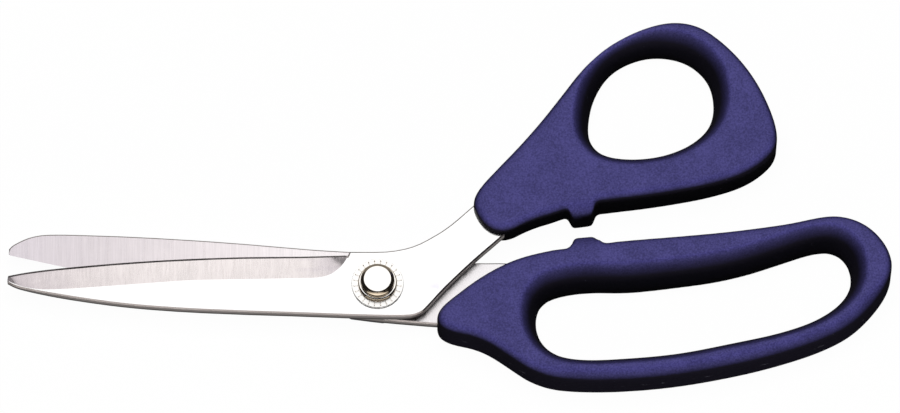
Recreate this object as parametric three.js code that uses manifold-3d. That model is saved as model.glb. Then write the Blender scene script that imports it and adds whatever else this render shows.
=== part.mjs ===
// Fabric shears, a bent trimmer: two steel blades that ride on one adjustable pivot,
// each with a moulded plastic bow over its tang. Millimetres, +Z up. The shears lie on
// the plane z = 0, the pivot axis is x = y = 0, the tips point to -X and the bows to +X.
import * as THREE from 'three';
import { mergeVertices } from 'three/addons/utils/BufferGeometryUtils.js';
import Module from 'manifold-3d';

const wasm = await Module();
wasm.setup();

// ---- driving dimensions -----------------------------------------------------------
const fit = 0.3; // gap between a piece and the one that is cut to receive it
const overcut = 0.02; // how far a cutter runs past a face
const lap = 1; // how far joined solids run into each other, and bores past their ends

const bowThick = 15;
const thumbRound = 2.0; // rounding of the bows' outer edges
const fingerRound = 2.6;
const holeFlare = { across: 4.6, high: 11 }; // the openings widen to the top like a funnel
const holeRound = 1.5; // rounding of their lower rims
const roundSteps = 4;
const ridePlane = bowThick / 2; // height at which the two blades touch

const bladeThick = 3.5; // at the pivot, ride land included
const rideRelief = 0.2; // each blade is ground back this much outside its ride land
const rideRadius = 9.3;
const tipThick = 1.9;
const honeWidth = 0.7; // the honed facet along the cutting edge
const honeRise = 0.5;
const taperStart = -92; // the outer face slopes down from here to the tip
const tipX = -106.5;
const bladeSections = 48;
const hollow = 0.13; // depth of the wheel-ground hollow across the bevel
const hollowRatio = 1 / 30; // and at most this share of the bevel's width
const honeShare = 0.4; // the honed facet takes at most this share of the bevel
const heelLap = 1; // the blade runs on this far into the plate of its shank
const heelNarrowing = 0.97; // and stays inside its outline

const lugLow = 3.8; // the lugs' contact faces reach from here to lugHigh
const lugHigh = 11.2;
const lugRamp = 3.6; // their tops climb this much more towards the bow
const lugRound = 1.2;
const lugAngle = 8; // degrees, slope of the contact faces where they meet
const closingAngle = 4.8; // degrees from this pose to closed, where the lugs meet
const raised = 3.5; // the thumb bow's underside is this much higher before the lug
const raisedEnd = 64; // x where the underside's slope is down on the table
const raisedRun = 10;

const headRadius = 6.2;
const headRound = 1.0; // rounding of the head's rim, on the rear side
const springRadius = 5.8;
const springThick = 0.5;
const neckSide = 5.6; // square neck that keys the bolt to the back blade
const journalRadius = 3.1;
const threadRadius = 2.6;
const threadFlat = 2.0; // distance of the flat from the axis
const washerRadius = 7.5;
const washerThick = 0.6;
const tickCount = 24;
const tickWidth = 0.45;
const tickDepth = 0.25;
const tickInner = 5.9;
const tickOuter = 7.0;
const nutFlangeRadius = 5.6;
const nutFlangeThick = 1.3;
const nutBodyRadius = 4.86;
const nutTopRadius = 4.0;
const nutTaper = 0.9; // height of the cone between the body and the flat top
const nutRound = 0.35;
const nutEdge = 0.1; // the broken edge round its flat top
const nutHeight = 3.9;
const nutWall = 1.0; // over the end of the bolt
const roundSides = 48;
const boreSides = 32;
const postSides = 24;

const frontOuter = ridePlane + bladeThick;
const backOuter = ridePlane - bladeThick;
const washerTop = frontOuter + washerThick;

// ---- outlines, seen from above ----------------------------------------------------
// Front blade, from the tip to the heel of the cutting edge.
const frontEdge = [
  [-106.3, 3.6], [-100, 4.8], [-90.5, 6.0], [-74.4, 7.5], [-58, 8.6],
  [-40, 9.3], [-22, 9.5], [-8, 9.9],
];
const frontBevel = [
  [-106.4, 1.5], [-101, -0.7], [-92.7, -1.6], [-74.4, -0.4], [-55, 1.1],
  [-35, 1.5], [-20, 1.8], [-14.3, 2.6], [-10.8, 5.1], [-9, 7.6], [-8, 9.9],
];
const frontSpine = [
  [-106.3, 0.9], [-102.2, -0.9], [-90.5, -3.5], [-74.4, -5.95], [-58, -7.45],
  [-40, -8.35], [-25, -8.85], [-8, -9.5],
];
// Front blade behind the heel: over the top of the shank, round the tang and back.
const frontShankTop = [
  [-8, 9.9], [2.6, 10.0], [10, 11.5], [16, 14.6], [21, 18.1], [27.5, 24], [33, 29.2],
  [39, 34], [45.5, 36.6], [51, 35.6], [57, 34.4], [73, 34.8],
];
const frontShankLow = [
  [74, 30], [60, 29.3], [52, 28.4], [46.5, 25.4], [41, 19.8], [35.9, 14.6], [27.7, 7.1],
  [19.6, -1], [14.6, -6.7], [12, -8.9], [7, -9.8], [-8, -9.5],
];
const frontPost = { at: [40.5, 28], radius: 2.8 };

// Back blade. Its cutting edge is the lower one, its spine the upper.
const backEdge = [
  [-106.2, 10.1], [-100.9, 8.9], [-91.4, 6.7], [-82, 4.7], [-70, 1.7], [-52, -2.2],
  [-33, -5], [-20, -6.8], [-8, -8.3],
];
const backBevel = [
  [-106.2, 11.8], [-101, 13.8], [-92.7, 13.6], [-74.4, 10.2], [-55, 5.9],
  [-35, 2.9], [-20, 0.9], [-14.3, -0.3], [-10.8, -3.1], [-9, -5.8], [-8, -8.3],
];
const backSpine = [
  [-106.1, 12.1], [-104.4, 13.6], [-99.5, 15.8], [-92.7, 16.5], [-74.4, 16], [-58, 15.1],
  [-40, 13.8], [-20, 12], [-8, 11.2],
];
const backShankTop = [
  [-8, 11.2], [4, 10.6], [16, 8.9], [28, 7.8], [37.5, 7.7], [44, 6.7], [54, 6.9],
  [66, 8.4], [73, 9],
];
const backShankLow = [
  [74, 4.2], [60, 3.2], [50, 2.4], [43.4, -0.6], [42, -7], [41.4, -13.6], [36.5, -15.4],
  [28, -13], [22, -11.4], [14, -10.7], [2, -9.6], [-8, -8.3],
];
const backPost = { at: [32, -4.5], radius: 3.2 };

// Bows: closed curves at the middle of their thickness.
const thumbBow = [
  [84.6, 79.5], [75, 76.8], [66.2, 71.9], [59.1, 64.9], [53.1, 56.9], [47.1, 48.9],
  [40.7, 41.2], [34, 33.8], [29.4, 28.4], [27.4, 24.2], [28.5, 20.6], [30.4, 17.6],
  [33.6, 15.4], [37.4, 15.1], [41, 17], [46, 19.2], [52, 21], [58, 23], [66, 24.7],
  [76, 26], [86, 27.6], [96, 29.7], [105.2, 32.8], [111, 36.6], [114.7, 41], [114.9, 46.6],
  [110.9, 58.1], [105.3, 67.2], [98.4, 74.4], [92.1, 78.5],
];
const thumbHole = [
  [80.5, 72.9], [73, 71.2], [66.9, 67.2], [62.8, 60.7], [60.9, 53.4], [61, 46.2],
  [64.4, 41.5], [69.9, 40], [77.1, 40], [84.1, 41.5], [90.9, 44.9], [95.9, 50.3],
  [97.3, 57.4], [95.5, 65.2], [89.4, 71],
];
const fingerBow = [
  [132, 20], [117, 17.4], [102, 15.3], [87, 13.8], [72, 12.5], [62, 11.4], [49, 9.3],
  [39.4, 6.6], [30.4, 1.8], [22.4, -4.3], [18.1, -8.2], [16.8, -12.3], [20.8, -15.3],
  [26, -16.4], [30.9, -18.2], [34.9, -20.7], [39, -23.6], [43.4, -26.6], [49.9, -29],
  [58, -29.8], [68, -29.8], [83, -28.6], [98, -26.1], [113, -22.5], [127.5, -17.5],
  [136.1, -12.7], [143.1, -5.5], [146.7, 0.5], [147.7, 6], [145.3, 12.2], [139.8, 17.6],
];
const fingerHole = [
  [126, 12.5], [116, 9.3], [106.5, 6.1], [97, 3.8], [87, 2.3], [72, 0.6], [60, 0.5],
  [52, -0.8], [47, -3.2], [45.3, -8.1], [45.8, -13.4], [48, -17.4], [51.9, -20.2],
  [59, -21.4], [71, -21], [86, -19.5], [101, -16.5], [116, -13], [126, -9.2],
  [132.8, -4.3], [136, 0.7], [136.3, 5.7], [134.6, 10], [131.1, 12.6],
];

// ---- geometry helpers -------------------------------------------------------------
const radians = THREE.MathUtils.degToRad;
const planar = (points) => points.map(([x, y]) => new THREE.Vector2(x, y));
const spline = (points) => new THREE.SplineCurve(planar(points));

function ringPoints(points, count) {
  const corners = points.map(([x, y]) => new THREE.Vector3(x, y, 0));
  const curve = new THREE.CatmullRomCurve3(corners, true, 'centripetal');
  curve.arcLengthDivisions = 800;
  return curve.getSpacedPoints(count).slice(0, count).map((p) => new THREE.Vector2(p.x, p.y));
}

// A manifold solid from a three.js geometry.
function solid(geometry) {
  geometry.deleteAttribute('normal');
  geometry.deleteAttribute('uv');
  const merged = mergeVertices(geometry, 1e-4);
  return new wasm.Manifold(new wasm.Mesh({
    numProp: 3,
    vertProperties: new Float32Array(merged.attributes.position.array),
    triVerts: new Uint32Array(merged.index.array),
  }));
}

function geometryOf(body) {
  const mesh = body.getMesh();
  const geometry = new THREE.BufferGeometry();
  geometry.setAttribute('position', new THREE.BufferAttribute(mesh.vertProperties, 3));
  geometry.setIndex(new THREE.BufferAttribute(mesh.triVerts, 1));
  geometry.computeVertexNormals();
  return geometry;
}

// A plate of one outline between two heights. `round` rounds its edges off, `flare`
// widens it towards both faces like a trumpet, and `grow` makes it larger on all sides.
function plate(outline, low, high, { round = 0, flare, grow = 0, steps = 1 } = {}) {
  const { across, high: rim } = flare ?? { across: 0, high: round };
  const geometry = new THREE.ExtrudeGeometry(new THREE.Shape(outline), {
    depth: high - low - 2 * rim,
    curveSegments: 1,
    bevelEnabled: rim + grow > 0,
    bevelThickness: rim + grow,
    bevelSize: round + grow - across,
    bevelOffset: across - round,
    bevelSegments: steps,
  });
  geometry.translate(0, 0, low + rim);
  return solid(geometry);
}

function disc(radius, low, high, sides = roundSides) {
  const geometry = new THREE.CylinderGeometry(radius, radius, high - low, sides);
  geometry.rotateX(Math.PI / 2).translate(0, 0, (low + high) / 2);
  return solid(geometry);
}

function block(width, depth, low, high) {
  const geometry = new THREE.BoxGeometry(width, depth, high - low);
  return solid(geometry.translate(0, 0, (low + high) / 2));
}

// A closed solid through sections with the same number of points each.
function loft(sections) {
  const ring = sections[0].length;
  const positions = sections.flat().flatMap((p) => [p.x, p.y, p.z]);
  const faces = [];
  for (let i = 0; i + 1 < sections.length; i += 1) {
    for (let j = 0; j < ring; j += 1) {
      const [a, b] = [i * ring + j, i * ring + ((j + 1) % ring)];
      faces.push(a, b, b + ring, a, b + ring, a + ring);
    }
  }
  const last = (sections.length - 1) * ring;
  for (let j = 0; j + 2 < ring; j += 1) {
    faces.push(ring - 1, j + 1, j, last + ring - 1, last + j, last + j + 1);
  }
  const geometry = new THREE.BufferGeometry();
  geometry.setAttribute('position', new THREE.Float32BufferAttribute(positions, 3));
  geometry.setIndex(faces);
  return solid(geometry);
}

// ---- blades -----------------------------------------------------------------------
// `side` is +1 for the front blade, which lies above the ride plane, and -1 for the
// back blade, which lies below it and has its cutting edge on the other side.
function outerHeight(x, side) {
  const along = THREE.MathUtils.clamp((x - taperStart) / (tipX - taperStart), 0, 1);
  return ridePlane + side * THREE.MathUtils.lerp(bladeThick, tipThick + rideRelief, along);
}

function groundBlade(edge, bevel, spine, side) {
  const inner = ridePlane + side * rideRelief;
  const curves = [edge, bevel, spine].map(spline);
  const sections = [];
  for (let i = 0; i <= bladeSections; i += 1) {
    const along = (1 - Math.cos((Math.PI * i) / bladeSections)) / 2; // closer at both ends
    const [e, b, s] = curves.map((curve) => curve.getPointAt(along));
    const inwards = Math.min(honeWidth / Math.max(e.distanceTo(b), honeWidth), honeShare);
    const honed = new THREE.Vector2().lerpVectors(e, b, inwards);
    const honeTop = new THREE.Vector3(honed.x, honed.y, inner + side * honeRise);
    const bevelTop = new THREE.Vector3(b.x, b.y, outerHeight(b.x, side));
    const middle = new THREE.Vector3().lerpVectors(honeTop, bevelTop, 0.5);
    middle.z -= side * Math.min(hollow, honeTop.distanceTo(bevelTop) * hollowRatio);
    sections.push([
      new THREE.Vector3(e.x, e.y, inner),
      honeTop,
      middle,
      bevelTop,
      new THREE.Vector3(s.x, s.y, outerHeight(s.x, side)),
      new THREE.Vector3(s.x, s.y, inner),
    ]);
  }
  // one more section, inside the shank's plate, so that the two are joined
  const heel = sections.at(-1);
  sections.push(heel.map((p) => new THREE.Vector3(p.x + heelLap, p.y * heelNarrowing, p.z)));
  return loft(sections);
}

function shankOutline(top, low) {
  const upper = spline(top).getPoints(3 * (top.length - 1));
  const lower = spline(low).getPoints(3 * (low.length - 1));
  return [...upper, ...lower].reverse();
}

function blade({ edge, bevel, spine, shank, post, side }) {
  const inner = ridePlane + side * rideRelief;
  const outer = ridePlane + side * bladeThick;
  const [low, high] = [inner, outer].sort((a, b) => a - b);
  const [rideLow, rideHigh] = [inner, ridePlane].sort((a, b) => a - b);
  const postHole = disc(post.radius + fit, low - lap, high + lap, postSides);
  return groundBlade(edge, bevel, spine, side)
    .add(plate(shank, low, high))
    .add(disc(rideRadius, rideLow, rideHigh))
    .subtract(postHole.translate([...post.at, 0]));
}

const frontShank = shankOutline(frontShankTop, frontShankLow);
const backShank = shankOutline(backShankTop, backShankLow);

function frontBlade() {
  const body = blade({
    edge: frontEdge, bevel: frontBevel, spine: frontSpine,
    shank: frontShank, post: frontPost, side: 1,
  });
  return body.subtract(disc(journalRadius + fit, 0, bowThick, boreSides));
}

function backBlade() {
  const body = blade({
    edge: backEdge, bevel: backBevel, spine: backSpine,
    shank: backShank, post: backPost, side: -1,
  });
  const keyHole = neckSide + 2 * fit;
  return body.subtract(block(keyHole, keyHole, 0, bowThick));
}

// ---- bows -------------------------------------------------------------------------
// A stop lug: a short block on the inner side of a bow. Its contact face lies at
// `face` = [left x, right x, y at the left end], sloped by `angle` degrees; `flanks`
// run from the face's right end into the bow and back out to its left end.
function stopLug({ face, angle, flanks, rampStart }) {
  const [left, right, y] = face;
  const rise = (right - left) * Math.tan(radians(angle));
  const outline = planar([[left, y], [right, y + rise], ...flanks]);
  if (THREE.ShapeUtils.isClockWise(outline)) outline.reverse();
  const lug = plate(outline, lugLow, lugHigh, { round: lugRound, steps: 2 });
  return lug.warp((point) => {
    if (point[2] > ridePlane) point[2] += lugRamp * Math.min((point[1] - y) / (rampStart - y), 1);
  });
}

// The opening of a bow: straight at the bottom, then widening up to the top face.
function opening(outline) {
  const rim = { across: holeRound, high: holeRound };
  const rounded = { flare: rim, steps: roundSteps };
  const funnel = { flare: holeFlare, steps: 2 * roundSteps };
  return plate(outline, -overcut, bowThick + overcut, rounded)
    .add(plate(outline, -holeFlare.high - lap, bowThick + overcut, funnel));
}

function bow({ body, hole, holeCount, lug, shank, post, side }) {
  const inner = ridePlane + side * rideRelief;
  const outerFace = ridePlane + side * bladeThick;
  const [low, high] = [inner, outerFace].sort((a, b) => a - b);
  const pocket = plate(shank, low, high, { grow: fit });
  const anchor = disc(post.radius, low - lap, high + lap, postSides);
  const room = pocket.subtract(anchor.translate([...post.at, 0]));
  return body.subtract(opening(ringPoints(hole, holeCount))).add(stopLug(lug)).subtract(room);
}

function thumbHandle() {
  const outline = ringPoints(thumbBow, 76);
  const rounding = { round: thumbRound, steps: roundSteps };
  // full thickness behind a slanted plane, raised underside in front of it
  const slant = new THREE.Vector2(raised + lap, raisedRun).normalize();
  const behind = plate(outline, 0, bowThick, rounding)
    .trimByPlane([slant.x, 0, slant.y], slant.x * raisedEnd);
  const lug = {
    face: [56.2, 61.8, 19], angle: lugAngle + closingAngle, rampStart: 25.2,
    flanks: [[62.6, 22.8], [64.5, 27], [52.5, 27], [54.6, 21.8]],
  };
  return bow({
    body: plate(outline, raised, bowThick, rounding).add(behind),
    hole: thumbHole, holeCount: 36,
    lug, shank: frontShank, post: frontPost, side: 1,
  });
}

function fingerHandle() {
  const lug = {
    face: [56.4, 62.2, 14.05], angle: lugAngle, rampStart: 7.6,
    flanks: [[63.4, 13], [65.8, 11.7], [67, 7], [53.5, 7], [55, 10.4], [55.8, 11.8]],
  };
  const rounding = { round: fingerRound, steps: roundSteps };
  return bow({
    body: plate(ringPoints(fingerBow, 92), 0, bowThick, rounding),
    hole: fingerHole, holeCount: 56,
    lug, shank: backShank, post: backPost, side: -1,
  });
}

// ---- pivot ------------------------------------------------------------------------
function lathe(profile) {
  const points = planar(profile);
  const geometry = new THREE.LatheGeometry(points, roundSides);
  geometry.rotateX(Math.PI / 2);
  return solid(geometry);
}

const boltTop = washerTop + nutHeight - nutWall - fit;

// Everything beyond the flat along the thread, from the front blade upwards.
function beyondFlat(distance) {
  const width = 2 * threadRadius;
  return block(width, 2 * width, frontOuter - overcut, bowThick)
    .translate([distance + width / 2, 0, 0]);
}

function pivotBolt() {
  const headThick = backOuter - springThick;
  const inset = headRound * (1 - Math.SQRT1_2);
  const head = lathe([
    [0, 0], [headRadius - headRound, 0], [headRadius - inset, inset],
    [headRadius, headRound], [headRadius, headThick], [0, headThick],
  ]);
  const neck = block(neckSide, neckSide, headThick - lap, ridePlane);
  const journal = disc(journalRadius, ridePlane - lap, frontOuter, boreSides);
  const thread = disc(threadRadius, frontOuter - lap, boltTop, boreSides);
  return head.add(neck).add(journal).add(thread.subtract(beyondFlat(threadFlat)));
}

function springWasher() {
  const high = backOuter;
  const low = high - springThick;
  const bore = neckSide * Math.SQRT1_2 + fit;
  return disc(springRadius, low, high).subtract(disc(bore, low - lap, high + lap, boreSides));
}

function serratedWasher() {
  const bore = disc(threadRadius + fit, frontOuter - lap, washerTop + lap, boreSides);
  const keyed = bore.subtract(beyondFlat(threadFlat + fit));
  let ring = disc(washerRadius, frontOuter, washerTop).subtract(keyed);
  for (let i = 0; i < tickCount; i += 1) {
    const tick = block(tickOuter - tickInner, tickWidth, washerTop - tickDepth, bowThick);
    const placed = tick.translate([(tickInner + tickOuter) / 2, 0, 0]);
    ring = ring.subtract(placed.rotate([0, 0, (360 / tickCount) * (i + 0.5)]));
  }
  return ring;
}

function pivotNut() {
  const bore = threadRadius + fit;
  const flangeTop = washerTop + nutFlangeThick;
  const top = washerTop + nutHeight;
  return lathe([
    [0, boltTop + fit], [bore, boltTop + fit], [bore, washerTop],
    [nutFlangeRadius - nutRound, washerTop], [nutFlangeRadius, washerTop + nutRound],
    [nutFlangeRadius, flangeTop - nutRound], [nutFlangeRadius - nutRound, flangeTop],
    [nutBodyRadius, flangeTop], [nutBodyRadius, top - nutTaper],
    [nutTopRadius + nutEdge, top - nutEdge], [nutTopRadius, top], [0, top],
  ]);
}

// ---- scene graph ------------------------------------------------------------------
const finishes = {
  polished_steel: { color: 0xd9d6d3, roughness: 0.22, metalness: 1 },
  brushed_steel: { color: 0xc6bfbd, roughness: 0.35, metalness: 1 },
  moulded_plastic: { color: 0x3f3c74, roughness: 0.42, metalness: 0 },
  bright_nickel: { color: 0xcfc5b8, roughness: 0.18, metalness: 1 },
  spring_steel: { color: 0x9a9793, roughness: 0.35, metalness: 1 },
};

const shears = new THREE.Group();
const backHalf = new THREE.Group();
const frontHalf = new THREE.Group();
shears.add(backHalf, frontHalf);

function place(group, name, body, finish) {
  const material = new THREE.MeshStandardMaterial(finishes[finish]);
  const mesh = new THREE.Mesh(geometryOf(body), material);
  mesh.name = name;
  group.add(mesh);
}

place(backHalf, 'back_blade', backBlade(), 'brushed_steel');
place(backHalf, 'finger_handle', fingerHandle(), 'moulded_plastic');
place(backHalf, 'pivot_bolt', pivotBolt(), 'bright_nickel');
place(backHalf, 'spring_washer', springWasher(), 'spring_steel');
place(backHalf, 'serrated_washer', serratedWasher(), 'polished_steel');
place(backHalf, 'pivot_nut', pivotNut(), 'bright_nickel');
place(frontHalf, 'front_blade', frontBlade(), 'polished_steel');
place(frontHalf, 'thumb_handle', thumbHandle(), 'moulded_plastic');

export default shears;
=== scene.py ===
"""Fabric shears: the looks, in metres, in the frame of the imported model.

The shears lie on z = 0 with the pivot axis through the origin, the tips at -X and the
bows at +X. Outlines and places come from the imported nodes; lengths are named in MM.
"""
import math

import bmesh
import bpy
import numpy as np
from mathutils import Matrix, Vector


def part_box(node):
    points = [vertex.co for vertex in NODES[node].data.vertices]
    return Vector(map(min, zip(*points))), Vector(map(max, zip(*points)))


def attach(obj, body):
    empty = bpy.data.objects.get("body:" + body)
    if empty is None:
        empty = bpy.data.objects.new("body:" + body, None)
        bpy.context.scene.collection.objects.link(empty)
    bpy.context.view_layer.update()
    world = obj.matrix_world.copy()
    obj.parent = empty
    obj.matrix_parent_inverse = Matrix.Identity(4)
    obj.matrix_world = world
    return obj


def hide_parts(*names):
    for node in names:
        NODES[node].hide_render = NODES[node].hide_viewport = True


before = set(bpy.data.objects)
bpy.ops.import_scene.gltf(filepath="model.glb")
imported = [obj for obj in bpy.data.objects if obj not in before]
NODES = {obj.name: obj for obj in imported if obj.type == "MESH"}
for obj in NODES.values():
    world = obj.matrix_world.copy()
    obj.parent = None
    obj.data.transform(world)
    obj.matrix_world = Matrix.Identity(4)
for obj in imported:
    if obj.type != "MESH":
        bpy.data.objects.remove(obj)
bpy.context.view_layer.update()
MM = 0.001

# ---- camera ------------------------------------------------------------------------
CAMERA_ELEVATION = math.radians(70)
CAMERA_DISTANCE = 3.0
VIEW_WIDTH = 259.2 * MM  # what the view spans across, at the object
VIEW_CENTRE = Vector((20.8, 24.03, 10)) * MM
SENSOR_WIDTH = 36
CLIP_RANGE = (0.1, 20)

# ---- lights ------------------------------------------------------------------------
WORLD_LEVEL = 0.02
KEY = {"place": (0.0, 0.08, 1.0), "size": (0.7, 0.7), "radiance": 3.55}
LOW_FRONT = {"place": (0.35, -1.2, 0.22), "size": (1.6, 0.12), "radiance": 10.0}
OVERHEAD = {"place": (0.0, 0.50, 1.0), "size": (3.0, 0.98), "radiance": 1.2}
BACK = {"place": (0.0, 1.28, 0.56), "size": (2.6, 0.84), "radiance": 1.05}
CARD = {"place": (0.0, -1.1, 0.42), "size": (2.8, 0.3), "radiance": 1.8}
UNDER_GLOW = {"place": (0.0, -0.1, -0.00002), "size": (0.9, 0.7), "radiance": 0.3}
FLOOR_HALF = 4.0
FLOOR_DROP = 0.05 * MM  # it lies this much under the shears
FLOOR_SEEN = 0.97
FLOOR_LIT = 0.05  # how much shadow and light show on it
FLOOR_BOUNCE = 0.05

# ---- bows --------------------------------------------------------------------------
BOW_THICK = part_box("finger_handle")[1].z
HOLE_FLARE = (5.0 * MM, 11 * MM, 1.5)  # the openings' funnel: across, in height, power
HOLE_ROUND = 1.5 * MM  # their lower rims
FUNNEL_FLOOR = 2.2 * MM  # the funnel goes no lower than this
THINNEST = 1 * MM
BOW_CROWN = 0.25 * MM
CROWN_REACH = 4 * MM
BOW_SHARP = 50  # degrees
MOULD_SHRINK = 0.12 * MM  # what melting the skin takes off every side
VOXEL = 0.45 * MM
RELAX_FACTOR = 0.5
RELAX_ROUNDS = 5
OUTLINE_POINTS = 2048
SPOKE_POINTS = 34
WALL_STEPS = 6
PAIRING_SHARE = 18  # spokes are evened out over this part of the outline
SOFT_CURVE = 1.1 * MM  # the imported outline's corners are smoothed over this length
SOFT_LUG = 0.45 * MM
LUG_CRISP = (6 * MM, 10 * MM)  # from a lug's end: its corners are kept, and fade out
LUG_FLANK = (2 * MM, 1 * MM)  # a lug's flanks fade in from outside to inside its sides
LUG_TIGHT = 0.55  # how much smaller the outer rounding gets on a lug
LUG_TIGHT_BY = 0.5  # share of the lug's length where it is that small
LUG_PLAY = 0.1 * MM  # the lugs' contact faces stay this much short
LUG_FALL = 3.6 * MM  # top and underside of a lug close in by this much at its end
THUMB = {
    "slice": 6.8 * MM,  # a height above the raised underside and below the pocket
    "hole_slice": 3 * MM,  # where the opening's wall is upright
    "round": (2.4 * MM, 2.4 * MM),  # outer rounding, on the broad parts and on the far bar
    "lug": {"left": 55.5 * MM, "right": 62.4 * MM, "root": 25.2 * MM, "end": 19.3 * MM},
    "raised": (3.5 * MM, 54 * MM, 64 * MM),  # height, and where its slope starts and ends
    "rows": 420,
}
FINGER = {
    "slice": 9.4 * MM,  # a height above the pocket
    "hole_slice": 3 * MM,
    "round": (2.5 * MM, 4.4 * MM),
    "lug": {"left": 55.2 * MM, "right": 63.2 * MM, "root": 7.6 * MM, "end": 14.6 * MM},
    "raised": (0, 0, 1),  # not raised
    "rows": 520,
}
FAR_BAR_X = (42 * MM, 60 * MM)  # the far bar lies beyond this slope in x
FAR_BAR_Y = (4 * MM, -8 * MM)  # and beyond this slope in y

# ---- steel -------------------------------------------------------------------------
EDGE_BREAK = 0.4 * MM  # chamfer on edges between flats and walls
HONE_REACH = 0.6 * MM  # the honed facet's middle is this near to the ride plane
BLADE_THICK = 3.5 * MM
RIDE_PLANE = BOW_THICK / 2  # where the two blades touch
FLAT_ABOVE = 0.985  # a face is flat when its normal's height is over this
WALL_BELOW = 0.45  # and a wall when it is under this
MERGE_ANGLE = 0.6  # degrees: flatter edges are dissolved
FLAT_FOLD = 2  # degrees: sharper edges between flats stay sharp
OTHER_FOLD = 28
PLAIN_SHARP = 30
PIVOT_REACH = 9.4 * MM  # no chamfers this near to the axis: the ride lands stay whole
RIDE_GAP = 0.01 * MM  # each ride land stays this much clear of the other
TICKS = 24
# a painted grey reflection on the front blade near the shank: its middle and reach
PAINTED_REFLECTION_PLACE = Vector((16, -0.5, 11)) * MM
PAINTED_REFLECTION_RADIUS = 5 * MM
# painted light and shade on the back blade: how much of its tint is left at places along x
BACK_BLADE_PAINTED_LIGHT = (
    (-106 * MM, (0.84, 0.83, 0.87)), (-80 * MM, (0.86, 0.85, 0.87)),
    (-55 * MM, (0.97, 0.96, 0.97)), (-20 * MM, (1.08, 1.09, 1.09)),
    (60 * MM, (1.1, 1.16, 1.16)),
)
# painted light and shade on the front blade's bevel: how much of its tint is left at places
# along x
BEVEL_PAINTED_LIGHT = (
    (-106 * MM, (0.72, 0.70, 0.74)), (-86 * MM, (0.92, 0.91, 0.92)),
    (-60 * MM, (1.0, 1.0, 1.0)), (-22 * MM, (1.0, 1.0, 1.0)),
    (-10 * MM, (0.84, 0.83, 0.87)),
)


# ---- pivot -------------------------------------------------------------------------
BORE = 2.9 * MM  # radius of the nut's and the washer's hole
NUT_BODY = 4.86 * MM  # radii of the nut's upright side and of its flat end
NUT_CROWN = 4.0 * MM
NUT_FLANGE_TOP = 1.3 * MM  # above the nut's base
NUT_ROOF = 1.3 * MM  # metal over the bore
NUT_SHOULDER = 0.85 * MM  # below the flat end, where the taper starts
NUT_RIM = 0.3 * MM  # rounding of the flange's lower rim, the upper one has twice this
NUT_FINE = 0.12 * MM
NUT_SHARP = 35
TAPER_START = 48  # degrees, the direction that the taper faces
TICK_RING = (5.75 * MM, 6.9 * MM)
TICK_DEPTH = 0.28 * MM
TICK_HALF = 0.1  # half of a tick's width, as a share of the ticks' spacing
TICK_RUNOUT = 0.15 * MM
TICK_MARGIN = 0.05 * MM
TICK_RINGS = 12
TICK_COLUMNS = 20
WASHER_BREAK = 0.08 * MM
WASHER_ROUND = 0.22 * MM
LEVEL_SLACK = 0.01 * MM

# ---- finishes ----------------------------------------------------------------------
PLASTIC_DARK = (0.060, 0.054, 0.212, 1)
PLASTIC_LIGHT = (0.118, 0.106, 0.395, 1)
PLASTIC_PAINTED_SHADE = (0.014, 0.012, 0.022, 1)  # painted shade: steep faces are this dark
PLASTIC_DUST = (0.30, 0.30, 0.42, 1)
PLASTIC_SEAM = (0.42, 0.42, 0.5, 1)
SEAM_HALF = (0.07 * MM, 0.16 * MM)
NICKEL_DARK = (0.91, 0.87, 0.82, 1)
NICKEL_LIGHT = (0.96, 0.94, 0.91, 1)
# painted shade and reflection: steep faces go to this dark brown
NICKEL_PAINTED_SHADE = (0.56, 0.46, 0.34, 1)
NICKEL_RINGS = 0.16 * MM  # from one tool ring to the next
# colour of the painted reflection near the shank
PAINTED_REFLECTION_TINT = (0.77, 0.75, 0.82, 1)
WALL_SHADOW = (0.03, 0.022, 0.02, 1)  # a steel wall's lower part
WALL_SHADOW_REACH = (0.9 * MM, 2.1 * MM)
CLOUD_REACH = 24 * MM  # how far noise shifts the painted light and shade along a blade
# tint, roughness from and to, noise scale along each axis, depth of the lines, and how
# much darker the lines are
STEELS = {
    "polished_steel": ((0.93, 0.925, 0.92), (0.13, 0.22), (260, 5200, 700), 0.0012 * MM, 0.03),
    "ground_steel": ((0.88, 0.82, 0.83), (0.26, 0.38), (3000, 90, 600), 0.004 * MM, 0.2),
    "bevel_steel": ((0.90, 0.832, 0.822), (0.22, 0.34), (3000, 90, 600), 0.004 * MM, 0.18),
    "honed_steel": ((0.3, 0.27, 0.265), (0.12, 0.2), (900, 2600, 600), 0.003 * MM, 0.1),
    "sheared_steel": ((0.58, 0.515, 0.49), (0.3, 0.42), (300, 300, 5200), 0.006 * MM, 0.2),
    "washer_steel": ((0.95, 0.93, 0.905), (0.2, 0.3), (2400, 2400, 900), 0.003 * MM, 0.06),
    "spring_steel": ((0.5, 0.48, 0.46), (0.3, 0.42), (1500, 1500, 800), 0.006 * MM, 0.15),
}


# ---- plain helpers -----------------------------------------------------------------
def add_object(name, mesh):
    piece = bpy.data.objects.new(name, mesh)
    bpy.context.scene.collection.objects.link(piece)
    return piece


def mesh_from(name, vertices, faces):
    mesh = bpy.data.meshes.new(name)
    mesh.from_pydata([tuple(v) for v in vertices], [], [tuple(f) for f in faces])
    mesh.validate()
    return mesh


def apply_modifiers(piece):
    """Bakes the piece's modifiers into its mesh."""
    graph = bpy.context.evaluated_depsgraph_get()
    baked = bpy.data.meshes.new_from_object(piece.evaluated_get(graph))
    old = piece.data
    piece.modifiers.clear()
    piece.data = baked
    bpy.data.meshes.remove(old)


def face_outwards(mesh):
    bm = bmesh.new()
    bm.from_mesh(mesh)
    bmesh.ops.recalc_face_normals(bm, faces=bm.faces)
    bm.to_mesh(mesh)
    bm.free()


def shade_smooth(mesh, sharp_angle):
    """Smooth shading, with edges over the angle, in degrees, kept sharp."""
    mesh.shade_smooth()
    mesh.set_sharp_from_angle(angle=math.radians(sharp_angle))


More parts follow.
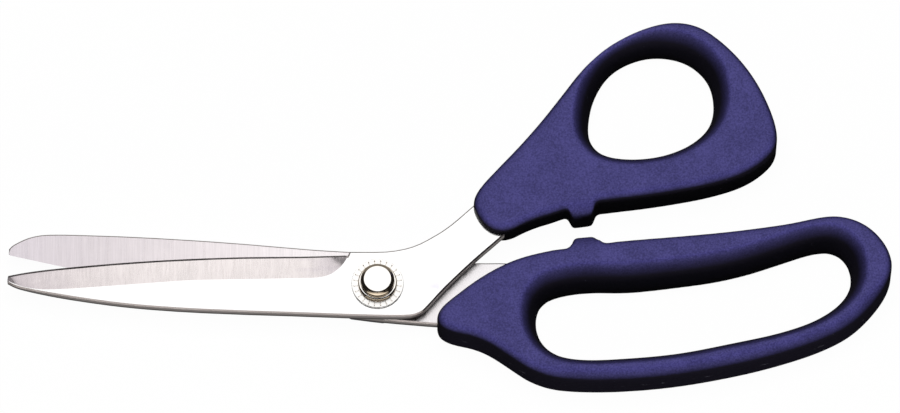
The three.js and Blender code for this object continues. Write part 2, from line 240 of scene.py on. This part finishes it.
def node_bmesh(node):
    """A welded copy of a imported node's mesh."""
    bm = bmesh.new()
    bm.from_mesh(NODES[node].data)
    bmesh.ops.remove_doubles(bm, verts=bm.verts, dist=1e-7)
    return bm


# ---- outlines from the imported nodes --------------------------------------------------
def section_loops(node, height):
    """The closed loops in which a level plane cuts a node, longest first."""
    bm = node_bmesh(node)
    everything = [*bm.verts, *bm.edges, *bm.faces]
    cut = bmesh.ops.bisect_plane(
        bm, geom=everything, plane_co=(0, 0, height), plane_no=(0, 0, 1), dist=1e-8,
    )["geom_cut"]
    edges = [e for e in cut if isinstance(e, bmesh.types.BMEdge)]
    near = {}
    for edge in edges:
        for vert in edge.verts:
            near.setdefault(vert, []).append(edge.other_vert(vert))
    loops = []
    unused = dict.fromkeys(near)  # keeps its order, so that every run starts alike
    while unused:
        start = next(iter(unused))
        del unused[start]
        loop = [start]
        step = next((v for v in near[start] if v in unused), None)
        while step:
            del unused[step]
            loop.append(step)
            step = next((v for v in near[step] if v in unused), None)
        loops.append(np.array([v.co[:2] for v in loop]))
    bm.free()
    return sorted(loops, key=lambda loop: -loop_length(loop))


def loop_length(loop):
    return np.linalg.norm(np.roll(loop, -1, 0) - loop, axis=1).sum()


def loop_area(loop):
    ahead = np.roll(loop, -1, 0)
    return 0.5 * (loop[:, 0] * ahead[:, 1] - ahead[:, 0] * loop[:, 1]).sum()


def evenly(loop, count):
    """The loop with evenly spaced points, counter-clockwise."""
    if loop_area(loop) < 0:
        loop = loop[::-1]
    closed = np.vstack([loop, loop[:1]])
    along = np.r_[0, np.cumsum(np.linalg.norm(np.diff(closed, axis=0), axis=1))]
    at = np.linspace(0, along[-1], count, endpoint=False)
    return np.column_stack([np.interp(at, along, closed[:, i]) for i in (0, 1)])


def soften(loop, radius):
    """The closed, evenly spaced loop, smoothed by a bell curve of the given radius."""
    spacing = loop_length(loop) / len(loop)
    fade = np.exp(-2 * (math.pi * np.fft.fftfreq(len(loop)) * radius / spacing) ** 2)
    return np.column_stack([np.fft.ifft(np.fft.fft(loop[:, i]) * fade).real for i in (0, 1)])


def smooth_loop(loop, count, grow, lug=None):
    """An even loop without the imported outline's facets; a lug keeps its corners."""
    dense = evenly(loop, OUTLINE_POINTS)
    smooth = soften(dense, SOFT_CURVE)
    if lug:
        centre = np.array([(lug["left"] + lug["right"]) / 2, lug["end"]])
        away = np.linalg.norm(dense - centre, axis=1)
        crisp = 1 - smoothstep(*LUG_CRISP, away)[:, None]
        smooth = soften(dense, SOFT_LUG) * crisp + smooth * (1 - crisp)
        grow = grow * (1 - crisp) - LUG_PLAY * crisp
    ahead = np.roll(smooth, -1, 0) - np.roll(smooth, 1, 0)
    outwards = np.column_stack([ahead[:, 1], -ahead[:, 0]])
    outwards /= np.linalg.norm(outwards, axis=1)[:, None]
    return evenly(smooth + outwards * grow, count)


def smoothstep(low, high, value):
    share = np.clip((value - low) / (high - low), 0, 1)
    return share * share * (3 - 2 * share)


def distance_to_loop(points, loop):
    """Distance from each point to the nearest place on a closed polyline."""
    ahead = np.roll(loop, -1, 0) - loop
    offset = points[:, None, :] - loop[None, :, :]
    share = (offset * ahead).sum(2) / (ahead * ahead).sum(1)
    gap = offset - np.clip(share, 0, 1)[:, :, None] * ahead
    return np.sqrt((gap ** 2).sum(2)).min(1)


# ---- bows ------------------------------------------------------------------------------
def matched_hole(outer, hole):
    """For each outer point, the point of the hole's loop that its spoke runs to."""
    count = len(hole)
    gaps = np.linalg.norm(outer[:, None, :] - hole[None, :, :], axis=2)
    nearest = gaps.argmin(1).astype(float)
    steps = (np.diff(np.r_[nearest, nearest[:1]]) + count / 2) % count - count / 2
    unwound = nearest[0] + np.r_[0, np.cumsum(steps)[:-1]]
    even = np.arange(len(outer)) * count / len(outer)
    shift = unwound - even
    width = len(outer) // PAIRING_SHARE
    kernel = np.hanning(2 * width + 1)
    padded = np.r_[shift[-width:], shift, shift[:width]]
    index = even + np.convolve(padded, kernel / kernel.sum(), "valid")
    whole = np.floor(index).astype(int)
    part = (index - whole)[:, None]
    return hole[whole % count] * (1 - part) + hole[(whole + 1) % count] * part


def rounding_drop(distance, across, height, power=2):
    """How far a rounded rim lies below its face, at a distance from the rim."""
    inside = np.clip(1 - distance / across, 0, 1)
    return height * (1 - (1 - inside ** power) ** (1 / power))


def spoke_shares(count):
    """Places along a spoke, close together at both rims."""
    return (1 - np.cos(np.linspace(0, math.pi, count))) / 2


def lug_share(flat, lug):
    """How far out on its lug a point lies: 0 on the bow, 1 at the lug's end."""
    x, y = flat.T
    outside, inside = LUG_FLANK
    beside = smoothstep(lug["left"] - outside, lug["left"] + inside, x)
    beside *= 1 - smoothstep(lug["right"] - inside, lug["right"] + outside, x)
    return beside * np.clip((y - lug["root"]) / (lug["end"] - lug["root"]), 0, 1)


def rim_rounding(flat, shape):
    """Radius of the outer rounding above, where the far bar may be rounder, and below."""
    near, far = shape["round"]
    share = smoothstep(*FAR_BAR_X, flat[:, 0]) * smoothstep(*FAR_BAR_Y, flat[:, 1])
    tight = 1 - LUG_TIGHT * smoothstep(0, LUG_TIGHT_BY, lug_share(flat, shape["lug"]))
    return (near + (far - near) * share) * tight, near * tight


def bow_heights(flat, outer, hole, shape):
    """Height of the top and of the underside over each point of the plan."""
    to_rim = distance_to_loop(flat, outer)
    to_hole = distance_to_loop(flat, hole)
    above, below = rim_rounding(flat, shape)
    crown = BOW_CROWN * np.exp(-np.minimum(to_rim, to_hole) / CROWN_REACH)
    fall = LUG_FALL * lug_share(flat, shape["lug"]) ** 2
    height, start, end = shape["raised"]
    lift = height * (1 - smoothstep(start, end, flat[:, 0]))
    upper = BOW_THICK - rounding_drop(to_rim, above, above) - crown - fall
    upper = np.maximum(upper - rounding_drop(to_hole, *HOLE_FLARE), FUNNEL_FLOOR)
    lower = rounding_drop(to_rim, below, below) + crown + np.maximum(lift, fall)
    lower += rounding_drop(to_hole, HOLE_ROUND, HOLE_ROUND)
    return upper, np.minimum(lower, upper - THINNEST)


def bow_body(outer, hole, shape):
    """Vertices and faces of a bow: a ring with its lug, rounded on both faces."""
    rows, columns = len(outer), SPOKE_POINTS
    target = matched_hole(outer, hole)
    shares = spoke_shares(columns)
    plan = outer[:, None, :] * (1 - shares)[:, None] + target[:, None, :] * shares[:, None]
    upper, lower = bow_heights(plan.reshape(-1, 2), outer, hole, shape)
    upper, lower = upper.reshape(rows, columns), lower.reshape(rows, columns)
    ring = [np.column_stack([plan[:, j], upper[:, j]]) for j in range(columns)]
    ring += wall_rings(plan[:, -1], upper[:, -1], lower[:, -1], WALL_STEPS)
    ring += [np.column_stack([plan[:, j], lower[:, j]]) for j in reversed(range(columns))]
    ring += wall_rings(plan[:, 0], lower[:, 0], upper[:, 0], WALL_STEPS)
    return np.concatenate(ring), ring_faces(len(ring), rows)


def ring_faces(rings, rows):
    """Faces between neighbouring rings of equal length, and from the last to the first."""
    faces = []
    for j in range(rings):
        a, b = j * rows, ((j + 1) % rings) * rows
        for i in range(rows):
            k = (i + 1) % rows
            faces.append((a + i, a + k, b + k, b + i))
    return faces


def wall_rings(plan, start, end, steps):
    """The rings of a wall between two heights, both ends left out."""
    shares = [step / steps for step in range(1, steps)]
    return [np.column_stack([plan, start * (1 - s) + end * s]) for s in shares]


def make_bow(name, node, blade_node, body, shape, plastic):
    """A moulded bow in one skin, with its tang's pocket."""
    rows = shape["rows"]
    outline = section_loops(node, shape["slice"])[0]
    opening = section_loops(node, shape["hole_slice"])[1]
    outer = smooth_loop(outline, rows, MOULD_SHRINK, shape["lug"])
    hole = smooth_loop(opening, rows * 2 // 3, -MOULD_SHRINK)
    mesh = mesh_from(name, *bow_body(outer, hole, shape))
    face_outwards(mesh)
    piece = add_object(name, mesh)
    melt_skin(piece)
    cut_pocket(piece, blade_node)
    shade_smooth(piece.data, BOW_SHARP)
    piece.data.materials.append(plastic)
    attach(piece, body)
    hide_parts(node)


def melt_skin(piece):
    """Joins a bow's skin where its spokes cross, and evens it out."""
    melt = piece.modifiers.new("melt", "REMESH")
    melt.mode = "VOXEL"
    melt.voxel_size = VOXEL
    melt.adaptivity = 0
    relax = piece.modifiers.new("relax", "SMOOTH")
    relax.factor = RELAX_FACTOR
    relax.iterations = RELAX_ROUNDS
    apply_modifiers(piece)


def cut_pocket(piece, blade_node):
    """Takes the tang's room out of a bow, so that plastic and steel don't overlap."""
    bm = node_bmesh(blade_node)
    mesh = bpy.data.meshes.new("tang_room")
    bm.to_mesh(mesh)
    bm.free()
    tool = add_object("tang_room", mesh)
    cut = piece.modifiers.new("pocket", "BOOLEAN")
    cut.operation = "DIFFERENCE"
    cut.solver = "EXACT"
    cut.object = tool
    apply_modifiers(piece)
    bpy.data.objects.remove(tool)


# ---- blades ----------------------------------------------------------------------------
FLAT, BEVEL, HONED, WALL = range(4)


def face_class(face):
    """Which finish a blade's face gets, from its slope and its height."""
    up = abs(face.normal.z)
    if up > FLAT_ABOVE:
        return FLAT
    if up < WALL_BELOW:
        return WALL
    from_ride_plane = abs(face.calc_center_median().z - RIDE_PLANE)
    return HONED if from_ride_plane < HONE_REACH else BEVEL


def make_blade(name, node, body, finishes):
    """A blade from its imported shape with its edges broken, and a finish for each of
    its flats, its ground bevel, the honed facet and the sheared walls."""
    bm = node_bmesh(node)
    bmesh.ops.dissolve_limit(
        bm, angle_limit=math.radians(MERGE_ANGLE), verts=bm.verts, edges=bm.edges,
        use_dissolve_boundaries=False,
    )
    bmesh.ops.triangulate(bm, faces=[face for face in bm.faces if len(face.verts) > 4])
    open_ride_gap(bm)
    mark_chamfers(bm)
    mesh = bpy.data.meshes.new(name)
    bm.to_mesh(mesh)
    bm.free()
    for finish in finishes:
        mesh.materials.append(finish)
    piece = add_object(name, mesh)
    break_edges(piece)
    sharp_between_finishes(piece.data)
    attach(piece, body)
    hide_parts(node)
    return piece


def open_ride_gap(bm):
    """Draws a blade's ride land back, so that it stays clear of the other one."""
    above = np.mean([vert.co.z for vert in bm.verts]) > RIDE_PLANE
    for vert in bm.verts:
        if abs(vert.co.z - RIDE_PLANE) < RIDE_GAP:
            vert.co.z = RIDE_PLANE + (RIDE_GAP if above else -RIDE_GAP)


def mark_chamfers(bm):
    """Gives each face its class, and weight to the edges between flats and walls."""
    weight = bm.edges.layers.float.new("bevel_weight_edge")
    for face in bm.faces:
        face.material_index = face_class(face)
    for edge in bm.edges:
        kinds = {face.material_index for face in edge.link_faces}
        clear = min(vert.co.xy.length for vert in edge.verts) > PIVOT_REACH
        edge[weight] = float(clear and kinds == {FLAT, WALL})


def break_edges(piece):
    """Chamfers the marked edges."""
    chamfer = piece.modifiers.new("edges", "BEVEL")
    chamfer.width = EDGE_BREAK
    chamfer.segments = 1
    chamfer.limit_method = "WEIGHT"
    chamfer.use_clamp_overlap = False
    chamfer.loop_slide = False
    chamfer.material = WALL
    apply_modifiers(piece)


def sharp_between_finishes(mesh):
    """Smooth within a finish, sharp where two finishes meet or a chamfer turns."""
    mesh.shade_smooth()
    bm = bmesh.new()
    bm.from_mesh(mesh)
    for edge in bm.edges:
        kinds = {face.material_index for face in edge.link_faces}
        limit = math.radians(FLAT_FOLD if kinds == {FLAT} else OTHER_FOLD)
        folded = edge.is_manifold and edge.calc_face_angle() > limit
        edge.smooth = len(kinds) == 1 and not folded
    bm.to_mesh(mesh)
    bm.free()


# ---- pivot -----------------------------------------------------------------------------
def lathe(name, profile, columns=128, drop_at=None):
    """A turned piece from (radius, height) pairs that start and end on the axis, or
    that close on themselves; drop_at(radius, height, angle) lowers its points."""
    closed = profile[0] == profile[-1]
    points = profile[:-1] if closed else profile
    vertices, rings = [], []
    for radius, height in points:
        if radius == 0:
            rings.append([len(vertices)] * columns)
            vertices.append((0, 0, height))
            continue
        rings.append(list(range(len(vertices), len(vertices) + columns)))
        for i in range(columns):
            angle = 2 * math.pi * i / columns
            drop = drop_at(radius, height, angle) if drop_at else 0
            place = (radius * math.cos(angle), radius * math.sin(angle), height - drop)
            vertices.append(place)
    if closed:
        rings.append(rings[0])
    mesh = mesh_from(name, vertices, turned_faces(rings, columns))
    face_outwards(mesh)
    return add_object(name, mesh)


def turned_faces(rings, columns):
    """Faces between neighbouring rings, triangles where a ring is one point."""
    faces = []
    for low, high in zip(rings, rings[1:]):
        for i in range(columns):
            k = (i + 1) % columns
            corners = list(dict.fromkeys((low[i], low[k], high[k], high[i])))
            if len(corners) > 2:
                faces.append(corners)
    return faces


def arc(centre, radius, start, end, steps=6):
    """Points of a round corner in a profile, angles in degrees."""
    angles = np.radians(np.linspace(start, end, steps + 1))
    return [(centre[0] + radius * math.cos(a), centre[1] + radius * math.sin(a))
            for a in angles]


def make_nut(material):
    low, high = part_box("pivot_nut")
    base, top, flange = low.z, high.z, high.x
    step, shoulder, roof = base + NUT_FLANGE_TOP, top - NUT_SHOULDER, top - NUT_ROOF
    rim, fine = NUT_RIM, NUT_FINE
    profile = [(0, roof), (BORE, roof), (BORE, base)]
    profile += arc((flange - rim, base + rim), rim, -90, 0)
    profile += arc((flange - 2 * rim, step - 2 * rim), 2 * rim, 0, 85)
    profile += arc((NUT_BODY + fine, step + fine), fine, 270, 180, 4)
    profile += arc((NUT_BODY - 2 * fine, shoulder - fine), 2 * fine, 0, TAPER_START)
    profile += arc((NUT_CROWN - 2 * fine, top - 2 * fine), 2 * fine, TAPER_START, 90)
    profile += [(NUT_CROWN * 0.5, top), (0, top)]
    piece = lathe("pivot_nut_turned", profile)
    shade_smooth(piece.data, NUT_SHARP)
    piece.data.materials.append(material)
    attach(piece, "nut")
    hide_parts("pivot_nut")
    return piece


def make_serrated_washer(material):
    low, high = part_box("serrated_washer")
    base, top, rim = low.z, high.z, high.x
    inner, outer = TICK_RING

    def tick_drop(radius, height, angle):
        if height < top - LEVEL_SLACK or not inner < radius < outer:
            return 0
        turn = (angle * TICKS / (2 * math.pi)) % 1 - 0.5
        fall = max(0.0, 1 - abs(turn) / TICK_HALF)
        ends = min(1.0, (radius - inner) / TICK_RUNOUT, (outer - radius) / TICK_RUNOUT)
        return TICK_DEPTH * fall * max(0.0, ends)

    radii = np.linspace(inner - TICK_MARGIN, outer + TICK_MARGIN, TICK_RINGS)
    profile = [(BORE, base), (rim - WASHER_BREAK, base), (rim, base + WASHER_BREAK)]
    profile += arc((rim - WASHER_ROUND, top - WASHER_ROUND), WASHER_ROUND, 0, 90, 4)
    profile += [(r, top) for r in reversed(radii)] + [(BORE, top), (BORE, base)]
    piece = lathe("serrated_washer_pressed", profile, TICKS * TICK_COLUMNS, tick_drop)
    shade_smooth(piece.data, PLAIN_SHARP)
    piece.data.materials.append(material)
    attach(piece, "back_half")
    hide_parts("serrated_washer")
    return piece


def finish_node(node, material):
    """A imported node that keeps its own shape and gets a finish."""
    piece = NODES[node]
    piece.data.materials.clear()
    piece.data.materials.append(material)
    shade_smooth(piece.data, PLAIN_SHARP)
    return piece


# ---- materials -------------------------------------------------------------------------
class Nodes:
    """A short way to write a shader's nodes."""

    def __init__(self, name):
        self.material = bpy.data.materials.new(name)
        self.material.use_nodes = True
        self.tree = self.material.node_tree
        self.shader = next(n for n in self.tree.nodes if n.type == "BSDF_PRINCIPLED")
        self.place = self.node("ShaderNodeTexCoord").outputs["Object"]

    def node(self, kind, **settings):
        made = self.tree.nodes.new(kind)
        for key, value in settings.items():
            setattr(made, key, value)
        return made

    def link(self, source, target):
        if isinstance(source, (int, float, tuple)):
            target.default_value = source
        else:
            self.tree.links.new(source, target)

    def set(self, **values):
        for key, value in values.items():
            self.link(value, self.shader.inputs[key.replace("_", " ")])

    def math(self, operation, a, b=0.0):
        made = self.node("ShaderNodeMath", operation=operation)
        for socket, value in zip(made.inputs, (a, b)):
            self.link(value, socket)
        return made.outputs[0]

    def axis(self, index, vector=None):
        split = self.node("ShaderNodeSeparateXYZ")
        self.link(vector or self.place, split.inputs[0])
        return split.outputs[index]

    def levelness(self):
        """1 on a level face, 0 on an upright one."""
        normal = self.node("ShaderNodeTexCoord").outputs["Normal"]
        return self.math("ABSOLUTE", self.axis(2, normal))

    def noise(self, scale, detail=4.0, roughness=0.55):
        """Noise in features per metre; a tuple scales each axis on its own."""
        made = self.node("ShaderNodeTexNoise")
        vector = self.place
        if isinstance(scale, tuple):
            stretch = self.node("ShaderNodeMapping")
            self.link(self.place, stretch.inputs["Vector"])
            stretch.inputs["Scale"].default_value = scale
            vector, scale = stretch.outputs[0], 1.0
        self.link(vector, made.inputs["Vector"])
        made.inputs["Scale"].default_value = scale
        made.inputs["Detail"].default_value = detail
        made.inputs["Roughness"].default_value = roughness
        return made.outputs["Fac"]

    def span(self, value, low, high, to_low, to_high):
        made = self.node("ShaderNodeMapRange")
        for socket, number in zip(made.inputs[:5], (value, low, high, to_low, to_high)):
            self.link(number, socket)
        return made.outputs[0]

    def blend(self, factor, first, second, mode="MIX"):
        made = self.node("ShaderNodeMix", data_type="RGBA", blend_type=mode)
        self.link(factor, made.inputs["Factor"])
        self.link(first, made.inputs[6])
        self.link(second, made.inputs[7])
        return made.outputs[2]

    def bump(self, height, distance, strength=1.0, below=None):
        made = self.node("ShaderNodeBump")
        made.inputs["Strength"].default_value = strength
        made.inputs["Distance"].default_value = distance
        self.link(height, made.inputs["Height"])
        if below is not None:
            self.link(below, made.inputs["Normal"])
        return made.outputs[0]


def moulded_plastic():
    """Satin blue-violet plastic: fine grain, faint mottling, dust, a mould seam, and painted
    shade that darkens its steep faces.
    """
    m = Nodes("moulded_plastic")
    mottle = m.math("ADD", m.math("MULTIPLY", m.noise(160, 3), 0.3),
                    m.math("MULTIPLY", m.noise(1900, 2), 0.7))
    colour = m.blend(m.span(mottle, 0.36, 0.64, 0.0, 1.0), PLASTIC_DARK, PLASTIC_LIGHT)
    level = m.levelness()
    # painted shade: the steeper a face, the nearer its colour goes to near-black
    colour = m.blend(m.span(level, 0.4, 0.92, 0.0, 1.0), PLASTIC_PAINTED_SHADE, colour)
    dust = m.span(m.noise(1500, 2, 0.6), 0.735, 0.80, 0.0, 0.45)
    colour = m.blend(dust, colour, PLASTIC_DUST)
    seam = mould_seam(m, level)
    broken = m.span(m.noise(420, 3), 0.6, 0.7, 0.0, 0.85)
    colour = m.blend(m.math("MULTIPLY", seam, broken), colour, PLASTIC_SEAM)
    m.set(Base_Color=colour, Roughness=m.span(m.noise(900, 4), 0.3, 0.7, 0.4, 0.55), IOR=1.46)
    m.shader.inputs["Specular IOR Level"].default_value = 0.15
    skin = m.bump(m.noise(5200, 2, 0.7), 0.02 * MM, 0.45)
    waves = m.bump(m.noise(90, 2), 0.25 * MM, 0.25, skin)
    m.set(Normal=m.bump(seam, 0.05 * MM, 0.8, waves))
    return m.material


def mould_seam(m, level):
    """1 on the line at half height of the upright walls, 0 elsewhere."""
    away = m.math("ABSOLUTE", m.math("SUBTRACT", m.axis(2), RIDE_PLANE))
    line = m.span(away, *SEAM_HALF, 1.0, 0.0)
    return m.math("MULTIPLY", line, m.span(level, 0.1, 0.2, 1.0, 0.0))


def steel(name, ends=None):
    """Bare steel with fine lines; `ends` lists painted light and shade: how much of the tint
    is left at places along x."""
    tint, roughness, lines, line_depth, shade = STEELS[name]
    m = Nodes(name)
    streak = m.noise(lines, 3, 0.6)
    coarse = m.noise(tuple(0.23 * s for s in lines), 2, 0.5)
    both = m.math("ADD", m.math("MULTIPLY", streak, 0.6), m.math("MULTIPLY", coarse, 0.4))
    dark = tuple(c * (1 - shade) for c in tint) + (1,)
    colour = m.blend(m.span(both, 0.36, 0.64, 0.0, 1.0), dark, tint + (1,))
    if ends:
        # painted light and shade along the blade
        colour = m.blend(1.0, colour, painted_light_along_blade(m, ends), "MULTIPLY")
    m.set(
        Base_Color=colour, Metallic=1.0,
        Roughness=m.span(both, 0.35, 0.65, *roughness),
        Normal=m.bump(both, line_depth, 1.0),
    )
    return m


def painted_light_along_blade(m, stops):
    """Painted light and shade: a colour that changes along the blade, between (x, colour)
    stops, cloudy between.
    """
    cloud = m.math("SUBTRACT", m.noise((150, 330, 300), 3), 0.5)
    x = m.math("ADD", m.axis(0), m.math("MULTIPLY", cloud, CLOUD_REACH))
    colour = stops[0][1] + (1,)
    for (start, _), (end, tint) in zip(stops, stops[1:]):
        colour = m.blend(m.span(x, start, end, 0.0, 1.0), colour, tint + (1,))
    return colour


def bare_colour(m):
    return m.shader.inputs["Base Color"].links[0].from_socket


def polished_steel():
    """Buffed bright, with a painted grey reflection near the shank."""
    m = steel("polished_steel")
    offset = m.node("ShaderNodeVectorMath", operation="DISTANCE")
    m.link(m.place, offset.inputs[0])
    offset.inputs[1].default_value = PAINTED_REFLECTION_PLACE
    reach = m.span(offset.outputs["Value"], 0.0, PAINTED_REFLECTION_RADIUS, 1.0, 0.0)
    cloud = m.span(m.noise(330, 4), 0.42, 0.7, 0.0, 1.0)
    # painted reflection: a cloudy grey patch near the shank
    painted_reflection = m.math("MULTIPLY", reach, cloud)
    m.set(Base_Color=m.blend(painted_reflection, bare_colour(m), PAINTED_REFLECTION_TINT))
    return m.material


def sheared_steel():
    """The walls: each blade's is darker towards its lower edge."""
    m = steel("sheared_steel")
    from_bottom = m.math("SUBTRACT", m.axis(2), RIDE_PLANE - BLADE_THICK)
    local = m.math("MODULO", from_bottom, BLADE_THICK)
    shadow = m.span(local, *WALL_SHADOW_REACH, 1.0, 0.0)
    m.set(Base_Color=m.blend(shadow, bare_colour(m), WALL_SHADOW))
    return m.material


def bright_nickel():
    """Turned and plated: warm, nearly a mirror, with tool rings on its end, and painted shade
    and reflection in dark brown on its steep faces.
    """
    m = Nodes("bright_nickel")
    radius = m.math("SQRT", m.math("ADD", m.math("POWER", m.axis(0), 2.0),
                                   m.math("POWER", m.axis(1), 2.0)))
    rings = m.math("SINE", m.math("MULTIPLY", radius, 2 * math.pi / NICKEL_RINGS))
    smear = m.noise(900, 3)
    colour = m.blend(m.span(smear, 0.35, 0.65, 0.0, 1.0), NICKEL_DARK, NICKEL_LIGHT)
    # painted shade and reflection: steep faces turn dark brown
    level = m.span(m.levelness(), 0.75, 0.97, 0.0, 1.0)
    colour = m.blend(level, NICKEL_PAINTED_SHADE, colour)
    m.set(
        Base_Color=colour, Metallic=1.0, Roughness=m.span(smear, 0.3, 0.7, 0.07, 0.14),
        Normal=m.bump(rings, 0.0006 * MM, 0.6),
    )
    return m.material


# ---- stage -----------------------------------------------------------------------------
def grey(level):
    return (level, level, level, 1)


def table_material():
    """Glows evenly to the camera, and throws little light back at the object."""
    material = bpy.data.materials.new("pale_table")
    material.use_nodes = True
    tree = material.node_tree
    tree.nodes.clear()
    out = tree.nodes.new("ShaderNodeOutputMaterial")
    seen = tree.nodes.new("ShaderNodeEmission")
    seen.inputs["Color"].default_value = grey(1)
    seen.inputs["Strength"].default_value = FLOOR_SEEN
    lit = tree.nodes.new("ShaderNodeBsdfDiffuse")
    lit.inputs["Color"].default_value = grey(FLOOR_LIT)
    both = tree.nodes.new("ShaderNodeAddShader")
    tree.links.new(seen.outputs[0], both.inputs[0])
    tree.links.new(lit.outputs[0], both.inputs[1])
    bounce = tree.nodes.new("ShaderNodeBsdfDiffuse")
    bounce.inputs["Color"].default_value = grey(FLOOR_BOUNCE)
    path = tree.nodes.new("ShaderNodeLightPath")
    choose = tree.nodes.new("ShaderNodeMixShader")
    tree.links.new(path.outputs["Is Camera Ray"], choose.inputs[0])
    tree.links.new(bounce.outputs[0], choose.inputs[1])
    tree.links.new(both.outputs[0], choose.inputs[2])
    tree.links.new(choose.outputs[0], out.inputs[0])
    return material


def make_floor():
    signs = ((-1, -1), (1, -1), (1, 1), (-1, 1))
    corners = [(x * FLOOR_HALF, y * FLOOR_HALF, -FLOOR_DROP) for x, y in signs]
    mesh = mesh_from("table", corners, [(0, 1, 2, 3)])
    floor = add_object("table", mesh)
    mesh.materials.append(table_material())


def add_softbox(name, place, size, radiance, aim=None):
    lamp = bpy.data.lights.new(name, "AREA")
    lamp.shape = "RECTANGLE"
    lamp.size, lamp.size_y = size
    lamp.energy = radiance * math.pi * size[0] * size[1]
    box = bpy.data.objects.new(name, lamp)
    box.location = place
    box.rotation_euler = (aim or -Vector(place)).to_track_quat("-Z", "Y").to_euler()
    box.visible_camera = False
    bpy.context.scene.collection.objects.link(box)
    return box


def make_lights():
    world = bpy.data.worlds.new("studio")
    world.use_nodes = True
    surround = world.node_tree.nodes["Background"]
    surround.inputs["Color"].default_value = (1, 0.98, 0.96, 1)
    surround.inputs["Strength"].default_value = WORLD_LEVEL
    bpy.context.scene.world = world
    for name, lamp in (("key", KEY), ("low_front", LOW_FRONT)):
        add_softbox(name, **lamp).visible_glossy = False
    for name, lamp in (("overhead", OVERHEAD), ("back", BACK), ("card", CARD)):
        add_softbox(name, **lamp).visible_diffuse = False


def make_glow(steel_pieces):
    """What the table throws up on the steel's walls; the plastic gets none of it."""
    glow = add_softbox("glow", **UNDER_GLOW, aim=Vector((0, 0, 1)))
    glow.visible_diffuse = False
    lit = bpy.data.collections.new("lit_from_below")
    for piece in steel_pieces:
        lit.objects.link(piece)
    glow.light_linking.receiver_collection = lit


def make_camera():
    lens = bpy.data.cameras.new("camera")
    lens.sensor_width = SENSOR_WIDTH
    lens.lens = lens.sensor_width * CAMERA_DISTANCE / VIEW_WIDTH
    lens.clip_start, lens.clip_end = CLIP_RANGE
    camera = bpy.data.objects.new("camera", lens)
    back = Vector((0, -math.cos(CAMERA_ELEVATION), math.sin(CAMERA_ELEVATION)))
    camera.location = VIEW_CENTRE + back * CAMERA_DISTANCE
    camera.rotation_euler = (-back).to_track_quat("-Z", "Y").to_euler()
    bpy.context.scene.collection.objects.link(camera)
    bpy.context.scene.camera = camera
    bpy.context.scene.view_settings.view_transform = "Standard"


# ---- the whole -------------------------------------------------------------------------
make_camera()
make_lights()
make_floor()
plastic = moulded_plastic()
make_bow("thumb_bow", "thumb_handle", "front_blade", "front_half", THUMB, plastic)
make_bow("finger_bow", "finger_handle", "back_blade", "back_half", FINGER, plastic)
polished = polished_steel()
bevel = steel("bevel_steel", BEVEL_PAINTED_LIGHT).material
honed = steel("honed_steel").material
sheared = sheared_steel()
front = make_blade("front_blade_ground", "front_blade", "front_half",
                   (polished, bevel, honed, sheared))
ground = steel("ground_steel", BACK_BLADE_PAINTED_LIGHT).material
back = make_blade("back_blade_ground", "back_blade", "back_half",
                  (ground, ground, honed, sheared))
nickel = bright_nickel()
nut = make_nut(nickel)
washer = make_serrated_washer(steel("washer_steel").material)
bolt = finish_node("pivot_bolt", nickel)
spring = finish_node("spring_washer", steel("spring_steel").material)
make_glow([front, back, nut, washer, bolt, spring])
